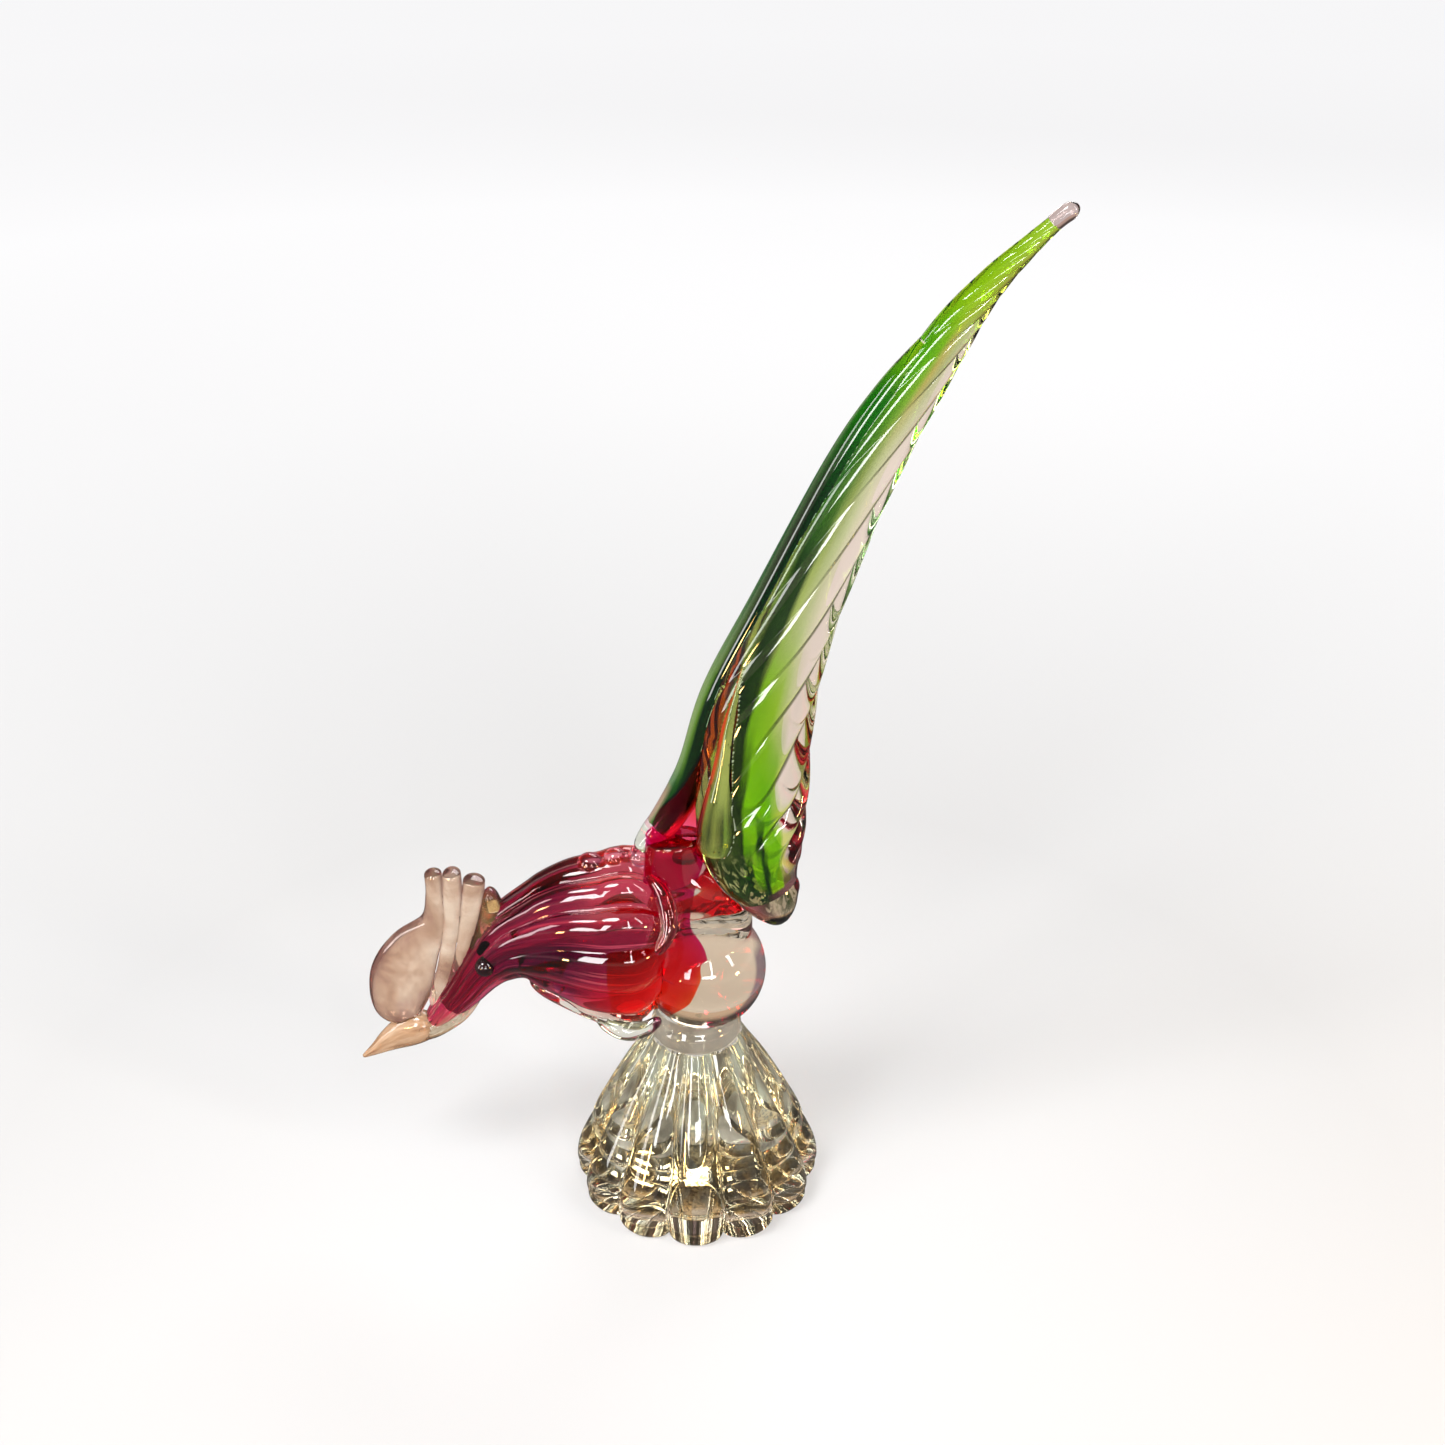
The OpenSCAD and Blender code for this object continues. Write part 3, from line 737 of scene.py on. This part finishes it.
JOINT = joint_glass()
CLEAR = tinted_skin("greenish_skin", [(0.3, (0.76, 0.8, 0.68)), (0.7, (0.88, 0.88, 0.8))])
COLLAR = tinted_skin("collar_skin", [(0.3, (0.3, 0.23, 0.15)), (0.7, (0.6, 0.5, 0.37))])
CHAMPAGNE = ball_skin()
ROSE = tinted_skin("rose_skin", [(0.3, (0.7, 0.24, 0.26)), (0.6, (0.85, 0.62, 0.58))], (2, 2, 0.5), 3.0)
JAW = tinted_skin("jaw_skin", [(0.3, (0.46, 0.3, 0.16)), (0.7, (0.8, 0.7, 0.54))], (1.5, 1.5, 3), 3.0)
TIP = tinted_skin("tip_skin", [(0.3, (0.55, 0.42, 0.4)), (0.7, (0.7, 0.58, 0.55))])
COMB = comb_skin("comb_skin", [
    (0.32, (0.26, 0.11, 0.09)), (0.43, (0.5, 0.32, 0.22)), (0.54, (0.7, 0.52, 0.39)),
    (0.66, (0.9, 0.78, 0.64)),
])
CURL = comb_skin("curl_skin", [
    (0.35, (0.12, 0.05, 0.02)), (0.5, (0.4, 0.24, 0.1)), (0.62, (0.9, 0.62, 0.26)),
])
RUBY = ruby_core()
SCARLET = scarlet_core()
SPIKE = spike_core()
GREEN = lime_core()
BLADE = blade_skin()
STRAND = strand_skin()
STRIP = strip_skin()
LOBE = lobe_skin()
NECK = neck_skin()
FOOT = foot_skin()
PEACH = peach_glass()
BLACK = black_glass()


# ---- Foot ----

FOOT_HEIGHT = 68
FOOT_RIBS = 12
FOOT_FURROW = 8.0
FOOT_WIDEST = 46
ARCH_FALL = 0.96
# The turned outlines of the foot's ribs and of the collar, as radius and height
FOOT_ROWS = [
    (45, 0), (46.6, 2.5), (46.2, 5.5), (47.2, 8), (45.4, 16), (38.8, 30), (30, 47), (22, 60),
    (17.5, FOOT_HEIGHT),
]
COLLAR_ROWS = [(15.5, -1.5), (16.6, 0.6), (17, 2), (17, 4), (16.5, 6), (15, 9), (15, 12)]


def turned(rows, steps):
    """t, and the radius and height along a turned outline."""
    t = np.linspace(0, 1, count(steps) + 1)
    r = through([(radius, z, 0) for radius, z in rows], t)
    return t, r[:, 0], r[:, 1]


def arch(a):
    """1 on the backs of the foot's ribs, falling off in an arch to the furrows between them."""
    u = (np.degrees(a) * FOOT_RIBS / 180 + 1) % 2 - 1
    return np.sqrt(1 - ARCH_FALL * u * u)


def foot():
    t, radius, z = turned(FOOT_ROWS, 90)
    a = circle(FOOT_RIBS * count(26))
    depth = FOOT_FURROW * radius / FOOT_WIDEST
    d = radius[:, None] - depth[:, None] * (1 - arch(a))
    z = np.maximum(0, z)[:, None] + 0 * d
    return outer(skin("foot_glass", np.stack([-d * np.sin(a), -d * np.cos(a), z], -1), t), FOOT)


def foot_collar():
    t, radius, z = turned(COLLAR_ROWS, 24)
    a = circle(count(72))
    x = radius[:, None] * np.cos(a)
    y = radius[:, None] * np.sin(a)
    z = z[:, None] + FOOT_HEIGHT + 0 * x
    return outer(skin("foot_collar_glass", np.stack([x, y, z], -1), t), COLLAR)


# ---- Body ----

CORE_ROWS = [
    (-14, 0, 81, 3, 3), (-14, 0, 83, 9, 8), (-14.5, 0, 88, 15, 13), (-14.5, 0, 96, 17, 15),
    (-12, 0, 106, 14.6, 14), (-11.5, 0, 117, 10.4, 11.2), (-10.2, 0, 130, 9.4, 9.7), (-9, 0, 143, 9.5, 8.9),
    (-8, 0, 154, 9.2, 8),
]
SLEEVE_ROWS = [
    (-6, 0, 104, 20, 20), (-1.5, -1, 116, 22.5, 17.5), (-0.5, -2, 128, 19.5, 13.5), (-5.5, -1, 141, 14, 11.5),
    (-7, 0, 153.6, 10.2, 9.2),
]
SPIKE_ROWS = [
    (-8, 0, 152, 8.6, 7.4), (-6.2, -1, 161, 7.6, 6.6), (-1, -2, 173, 4.6, 4.4), (5, -2.5, 190, 2.6, 2.6),
    (11, -2.5, 209, 1.6, 1.6), (18, -2, 231, 0.8, 0.8),
]


def body():
    """The ball, with the sleeve that rises behind the neck and fills in below the tail."""
    t, x, y, z = unit_ball(64, 96, 0.004)
    ball = skin("body_glass", np.array(BALL) + BALL_R * np.stack([x, y, z], -1), t)
    return outer(union(ball, strand("sleeve_glass", SLEEVE_ROWS, 30, 64)), CHAMPAGNE)


# ---- Neck ----

NECK_DEPTH = 0.085
NECK_ROWS = [
    (-8, 0, 112.4, 32, 27), (-20, 0, 112.4, 33, 27), (-33, 0, 112, 31.5, 26), (-45, 0, 112.5, 28, 23),
    (-56, 0, 111.5, 22.5, 19), (-66, 0, 109, 16, 15), (-74, 0, 103, 11.5, 11.5), (-80, 0, 96.5, 9.2, 9.6),
    (-86, 0, 88.5, 7.6, 8.6), (-93.5, 0, 79.5, 6, 7), (-100.5, 0, 71.5, 3.6, 4.6),
]
RUBY_ROWS = [
    (-12, 0, 126, 14, 20), (-20, 0, 120, 23, 24), (-33, 0, 115.5, 26, 24), (-45, 0, 114, 24.5, 21),
    (-56, 0, 112, 20.5, 17), (-66, 0, 109.3, 14.2, 13), (-74, 0, 103.2, 9.8, 9.8), (-80, 0, 96.7, 7.6, 8),
    (-86, 0, 88.7, 6.2, 7), (-93, 0, 80.2, 4.6, 5.4),
]


def neck_shape(t, b, a):
    """Uneven ribs that fade by half towards the head."""
    uneven = 0.75 + 0.25 * np.cos(3 * b + 1)
    return 1 + NECK_DEPTH * (1 - 0.5 * t) * uneven * folds(NECK_RIBS * b + 0.8 * np.sin(2 * b))


# ---- Small glass round the breast and back ----

FLUTE_Y = 7.5


def flute_rows(y):
    """A flute under the breast, y to the side of the middle one."""
    lift = 0.06 * y * y
    return [
        (-62, 0.2 * y, 92, 1.6, 1.8), (-56, 0.5 * y, 89.5, 3.2, 3.4),
        (-47, 0.8 * y, 84.5 + 0.6 * lift, 4.2, 4.2), (-38, y, 79.5 + lift, 4.4, 4.4),
        (-29, y, 75.5 + lift, 4, 4.2), (-20, 0.9 * y, 74 + lift, 2.6, 3.2),
    ]


LIP_ROWS = [
    (-37, 4, 79, 2.2, 2.2), (-33, 8, 76.5, 3.2, 3.2), (-26, 11, 75, 3.6, 3.6), (-19, 15, 79, 3, 3),
    (-13, 19.5, 87, 2, 2),
]
SHOULDER_ROWS = [
    (-17, 8, 142.5, 2, 2), (-12, 13, 139, 3, 3), (-9.5, 18, 133.5, 3.2, 3.2), (-9.5, 22, 127, 2.8, 2.8),
    (-13.5, 25, 120, 2, 2),
]
CRIMP_WIDE = 4.6
CRIMP_HIGH = 4.2
# x, z, half length and lean in degrees
CRIMPS = [(-38, 142.4, 4.8, 12), (-29, 144.6, 4.2, -6), (-20.6, 145.2, 4, 10)]


def sided(rows, side):
    """Rows on the near side (-1) or the far side (1)."""
    return [(x, side * y, z, h, w) for x, y, z, h, w in rows]


def crimp(i):
    """A bead along the back, longest from front to rear."""
    x, z, half, lean = CRIMPS[i]
    t, u, v, w = unit_ball(24, 32, 0.01)
    long = -half * w
    high = CRIMP_HIGH * v
    c, s = math.cos(math.radians(lean)), math.sin(math.radians(lean))
    rings = np.stack([x + c * long + s * high, CRIMP_WIDE * u, z - s * long + c * high], -1)
    return outer(skin(f"back_crimp_{i + 1}_glass", rings, t), ROSE)


# ---- Head ----

JAW_ROWS = [
    (-80.5, 0, 88.5, 2.4, 3), (-84.6, 0, 83.2, 3.8, 4.6), (-89.2, 0, 77, 4.2, 5.4), (-95, 0, 72, 4.2, 5.2),
    (-100.5, 0, 68.3, 4, 4.8), (-107, 0, 65.2, 3, 4),
]
BEAK_ROWS = [
    (-99, 0, 71, 5, 5), (-105, 0, 69, 6.6, 5.4), (-111, 0, 66.3, 6.6, 4.6), (-117, 0, 62.5, 4.8, 3.2),
    (-122.5, 0, 58.3, 2.6, 2), (-128, 0, 54.4, 0.7, 0.7),
]
PADDLE_ROWS = [
    (-95.5, 0, 139.5, 3.2, 0.8), (-95.3, 0, 129, 3.5, 0.9), (-96.5, 0, 117, 5.4, 1), (-104, 0, 105, 10.5, 1),
    (-109, 0, 94, 12.5, 1), (-112, 0, 83, 11, 1), (-113, 0, 71, 7, 0.8),
]
TAB_1_ROWS = [
    (-88.6, 0, 139.5, 3.3, 1), (-88.9, 0, 130, 3.7, 1), (-90, 0, 116, 3.8, 1), (-92.5, 0, 101, 3.6, 0.95),
    (-96, 0, 89, 3, 0.85), (-99.5, 0, 79, 2, 0.7),
]
TAB_2_ROWS = [
    (-80.4, 0, 136.5, 4, 1), (-82, 0, 126, 4.2, 1), (-85, 0, 112, 3.8, 1), (-88.5, 0, 99, 3.2, 0.9),
    (-92, 0, 90, 2, 0.8),
]
CURL_ROWS = [
    (-75.5, 0, 131.5, 2, 0.8), (-75, 0, 124, 4.4, 1.1), (-76, 0, 116, 5.2, 1.3), (-80, 0, 108, 4.4, 1.2),
    (-83.5, 0, 101, 2.6, 0.9),
]
COMB_HALF = 4.6


def comb_rows(rows):
    """Rows whose last number is a share of the comb's half thickness."""
    return [(x, y, z, h, w * COMB_HALF) for x, y, z, h, w in rows]


EYE = (-77.5, 9.6, 103.5)
EYE_R = 3.7


def eye(name, side):
    """A bead that the neck partly hides."""
    t, x, y, z = unit_ball(32, 48, 0.01)
    rings = np.stack([EYE[0] + EYE_R * x, side * (EYE[1] + EYE_R * y), EYE[2] + EYE_R * z], -1)
    return inner(skin(f"eye_{name}_bead", rings, t), BLACK)


# ---- Tail ----

BLADE_ROWS = [
    (26, -5, 136, 12, 11), (22.5, -5, 144, 16, 12.5), (20.3, -4.5, 154, 18.3, 13), (19.6, -4, 165, 19, 13),
    (20.3, -3, 179, 19.2, 12.2), (24, -2, 208, 17.4, 10.4), (35, -1, 242, 13.4, 8.6),
    (55.4, 0, 292, 10.5, 6.8), (79, 0, 336, 7.6, 5), (92.5, 0, 356, 5, 3.8), (105.6, 0, 370, 3.2, 2.8),
    (113, 0, 377, 2.6, 2.4),
]
TAIL_CORE_ROWS = [
    (26.4, -6.4, 140, 4.8, 5.1), (25.5, -7, 146, 5.6, 5.5), (23, -7, 157, 6.2, 5.6),
    (22, -6.5, 170, 6.6, 5.5), (22.5, -5.5, 186, 6.6, 5.4), (25.5, -4, 209, 6.2, 5), (35.5, -2, 243, 5.6, 4.6),
    (55.4, -0.5, 292, 5, 4), (79, 0, 336, 4.6, 3.2), (92, 0, 356, 3.2, 2.4), (104, 0, 369, 1.8, 1.6),
]
STRAND_ROWS = [
    (-15.5, 4.5, 152, 4.8, 6), (-9.5, 4.5, 160, 6, 7), (-3.5, 4, 171.5, 6.4, 7.5), (1, 3.5, 184, 6.2, 7.5),
    (8.7, 3, 212, 6, 7), (24.8, 2, 247, 5.6, 6.2), (48, 1, 296, 5.2, 5.4), (63, 0.5, 321, 4.8, 4.6),
    (77, 0, 339, 4, 3.6), (89, 0, 354, 2.6, 2.6),
]
STRIP_ROWS = [
    (7, -12, 154, 5.5, 5), (8, -13, 163, 7.3, 6.4), (8.6, -12.4, 175, 5.6, 6), (10, -11, 187, 3.8, 5),
    (13, -8.5, 207, 2.6, 3.6), (16.5, -6.5, 222, 1.6, 2.6), (18.5, -5, 230, 1, 1.4),
]
LOBE_ROWS = [
    (25, -5, 143, 9, 8), (25.7, -5, 138, 11.2, 10.2), (26.6, -5.1, 133.5, 11.7, 10.6),
    (28, -5.5, 128.2, 9.3, 8.6), (28.5, -6, 124, 6.6, 6.4), (28, -6, 121, 3.6, 3.8),
]
SWIRL_ROWS = [
    (-20.5, 1, 147, 2.4, 3), (-18.5, 2, 149.4, 3.8, 4.6), (-15.5, 3.5, 152.3, 5, 6),
    (-12, 4.2, 156.8, 5.4, 6.4),
]
TIP_ROWS = [
    (111, 0, 375.4, 2.7, 2.5), (114, 0, 378, 2.8, 2.6), (116.6, 0, 380, 2.8, 2.5), (119, 0, 381.4, 1.6, 1.5),
]
TAIL_DEPTH = 0.11


def tail_shape(t, b, a):
    """Ribs on the rear of the near side, fading to the smooth front edge, the far side and both ends."""
    rear = 0.5 - 0.5 * np.cos(a)
    near = 0.5 - 0.5 * np.sin(a)
    root = np.minimum(1, 4 * t)
    return 1 + TAIL_DEPTH * (0.15 + rear) * near * root * (1 - t**6) * folds(TAIL_RIBS * b)


def make_pieces():
    """Every visible piece, as node: object."""
    p = {}

    def pull(node, rows, steps, sides, first, last, material):
        """An outer strand without ribs, first and last being the rounded shares of its length."""
        p[node] = outer(strand(f"{node}_glass", rows, steps, sides, plain, first, last), material)

    p["foot"] = foot()
    p["foot_collar"] = foot_collar()
    p["body_ball"] = body()
    p["body_core"] = inner(strand("body_core_colour", CORE_ROWS, 60, 64, last=0.02), SCARLET)
    p["back_spike"] = inner(strand("back_spike_colour", SPIKE_ROWS, 60, 32, last=0.01), SPIKE)
    neck = strand("neck_glass", NECK_ROWS, 120, 240, neck_shape, 0.14, 0.04, NECK_TWIST)
    p["neck_casing"] = outer(neck, NECK)
    ruby = strand("neck_core_colour", RUBY_ROWS, 110, 144, neck_shape, 0.1, 0.03, NECK_TWIST)
    p["neck_core"] = inner(ruby, RUBY)
    for name, y in (("near", -FLUTE_Y), ("mid", 0), ("far", FLUTE_Y)):
        pull(f"breast_flute_{name}", flute_rows(y), 40, 32, 0.12, 0.12, CLEAR)
    for name, side in (("near", -1), ("far", 1)):
        pull(f"breast_lip_{name}", sided(LIP_ROWS, side), 40, 28, 0.15, 0.15, CLEAR)
        pull(f"shoulder_curl_{name}", sided(SHOULDER_ROWS, side), 40, 28, 0.15, 0.15, ROSE)
    for i in range(len(CRIMPS)):
        p[f"back_crimp_{i + 1}"] = crimp(i)
    pull("jaw", JAW_ROWS, 40, 36, 0.2, 0.15, JAW)
    pull("beak", BEAK_ROWS, 50, 36, 0.15, 0.03, PEACH)
    pull("comb_paddle", comb_rows(PADDLE_ROWS), 70, 48, 0.04, 0.1, COMB)
    pull("comb_tab_1", comb_rows(TAB_1_ROWS), 40, 36, 0.05, 0.1, COMB)
    pull("comb_tab_2", comb_rows(TAB_2_ROWS), 40, 36, 0.05, 0.1, COMB)
    pull("comb_curl", comb_rows(CURL_ROWS), 50, 40, 0.12, 0.1, CURL)
    blade = strand("tail_glass", BLADE_ROWS, 220, 196, tail_shape, 0.0, 0.02, TAIL_TWIST)
    p["tail_casing"] = outer(blade, BLADE)
    p["tail_core"] = inner(strand("tail_core_colour", TAIL_CORE_ROWS, 160, 64, plain, 0.01, 0.05), GREEN)
    pull("tail_strand", STRAND_ROWS, 160, 72, 0.0, 0.06, STRAND)
    pull("tail_strip", STRIP_ROWS, 80, 48, 0.1, 0.05, STRIP)
    pull("tail_root_lobe", LOBE_ROWS, 50, 72, 0.0, 0.3, LOBE)
    pull("tail_swirl", SWIRL_ROWS, 40, 40, 0.25, 0.1, CLEAR)
    for name, side in (("near", -1), ("far", 1)):
        p[f"eye_{name}"] = eye(name, side)
    pull("tail_tip", TIP_ROWS, 30, 36, 0.1, 0.25, TIP)
    return p


# ---- Studio, in metres ----

FLOOR_R = 8
FLOOR_DROP = 0.0002
# The floor's own light by distance from the foot, in units of FLOOR_SPAN
FLOOR_SPAN = 4
FLOOR_GLOW = [
    (0.0, 0.42), (0.03, 0.4), (0.07, 0.33), (0.13, 0.42), (0.22, 0.55), (0.37, 0.74), (0.6, 0.82),
    (1.0, 0.87),
]
# What the glass sees of the room, from below to above
ROOM_GLOW = [
    (0.0, (0.85, 0.72, 0.62)), (0.1, (0.78, 0.66, 0.56)), (0.26, (0.12, 0.1, 0.09)),
    (0.7, (0.14, 0.13, 0.12)), (1.0, (0.3, 0.3, 0.3)),
]
BIRD = (0, 0, 0.19)
FOOT_MIDDLE = (0, 0, 0.05)
WHITE = (1, 1, 1)
WARM = (1, 0.58, 0.2)
# Name, place, target, size, watts and colour
LIGHTS = [
    ("key", (-0.9, -0.8, 2.0), BIRD, (0.8, 0.6), 45, WHITE),
    ("strip", (0.9, -0.5, 0.9), BIRD, (0.15, 0.9), 7, WHITE),
    ("front_strip", (0.35, -1.2, 0.75), BIRD, (0.08, 0.9), 6, WHITE),
    ("left_card", (-1.2, -0.5, 0.4), BIRD, (0.25, 1.0), 9, WHITE),
    ("front_card", (0.25, -1.3, 0.42), (0.06, 0, 0.28), (0.6, 0.12), 5, WHITE),
    ("left_front", (-0.6, -1.04, 0.5), (0.05, 0, 0.3), (0.22, 0.5), 8, WHITE),
    ("back", (0.3, 1.1, 1.0), BIRD, (0.9, 0.5), 10, WHITE),
    ("warm_left", (-0.5, -0.55, 0.12), FOOT_MIDDLE, (0.06, 0.06), 1.6, WARM),
    ("warm_right", (0.6, -0.3, 0.15), FOOT_MIDDLE, (0.08, 0.05), 1.6, WARM),
]
CAMERA_TARGET = Vector((0.010, 0, 0.201))
CAMERA_AWAY = 0.7
CAMERA_RISE = math.radians(29)
BOUNCES = 32


def floor():
    """A pale floor that glows with distance, dimmed for reflections so that dark glass stays dark."""
    mesh = bpy.data.meshes.new("floor")
    rim = [(FLOOR_R * math.cos(a), FLOOR_R * math.sin(a), -FLOOR_DROP) for a in circle(96).tolist()]
    mesh.from_pydata(rim, [], [list(range(len(rim)))])
    n = Material("floor_paper", Roughness=0.9, Specular_IOR_Level=0.0)
    away = n.add("ShaderNodeVectorMath", operation="LENGTH")
    n.feed(n.place((1 / FLOOR_SPAN,) * 3), away, 0)
    reflected = (n.add("ShaderNodeLightPath"), "Is Reflection Ray")
    n.set(
        Base_Color=n.mix(reflected, (0.3, 0.3, 0.3), (0.06, 0.06, 0.06)),
        Emission_Color=n.ramp((away, "Value"), [(at, (g, g, 1.015 * g)) for at, g in FLOOR_GLOW]),
        Emission_Strength=n.share(reflected, 0.0, 1.0, 1.0, 0.2),
    )
    piece = bpy.data.objects.new("floor", mesh)
    bpy.context.scene.collection.objects.link(inner(piece, n.material))


def area_light(name, place, target, size, watts, color):
    data = bpy.data.lights.new(name, "AREA")
    data.shape = "RECTANGLE"
    data.size, data.size_y = size
    data.energy = watts
    data.color = color
    light = bpy.data.objects.new(name, data)
    light.location = place
    light.rotation_euler = (Vector(target) - Vector(place)).to_track_quat("-Z", "Y").to_euler()
    light.visible_camera = False
    bpy.context.scene.collection.objects.link(light)


def world():
    """A pale backdrop for the camera, and a dim room with a warm floor for everything else."""
    studio = bpy.data.worlds.new("studio")
    bpy.context.scene.world = studio
    studio.use_nodes = True
    n = Nodes(studio.node_tree)
    seen = n.add("ShaderNodeBackground")
    n.feed((0.89, 0.89, 0.885), seen, "Color")
    _, _, height = n.split((n.add("ShaderNodeTexCoord"), "Generated"))
    room = n.add("ShaderNodeBackground")
    n.feed(n.ramp(height, ROOM_GLOW), room, "Color")
    mix = n.add("ShaderNodeMixShader")
    n.feed((n.add("ShaderNodeLightPath"), "Is Camera Ray"), mix, 0)
    n.feed((room, 0), mix, 1)
    n.feed((seen, 0), mix, 2)
    n.feed((mix, 0), n.add("ShaderNodeOutputWorld"), "Surface")


def camera():
    data = bpy.data.cameras.new("camera")
    data.lens = 50
    data.sensor_width = 36
    view = bpy.data.objects.new("camera", data)
    offset = Vector((0, -CAMERA_AWAY * math.cos(CAMERA_RISE), CAMERA_AWAY * math.sin(CAMERA_RISE)))
    view.location = CAMERA_TARGET + offset
    view.rotation_euler = (-offset).to_track_quat("-Z", "Y").to_euler()
    bpy.context.scene.collection.objects.link(view)
    bpy.context.scene.camera = view


pieces = make_pieces()
fuse_shells()
for node, piece in pieces.items():
    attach(piece, "root")
    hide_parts(node)

floor()
world()
camera()
for light in LIGHTS:
    area_light(*light)
scene = bpy.context.scene
scene.view_settings.view_transform = "Standard"
scene.cycles.max_bounces = BOUNCES
scene.cycles.transmission_bounces = BOUNCES
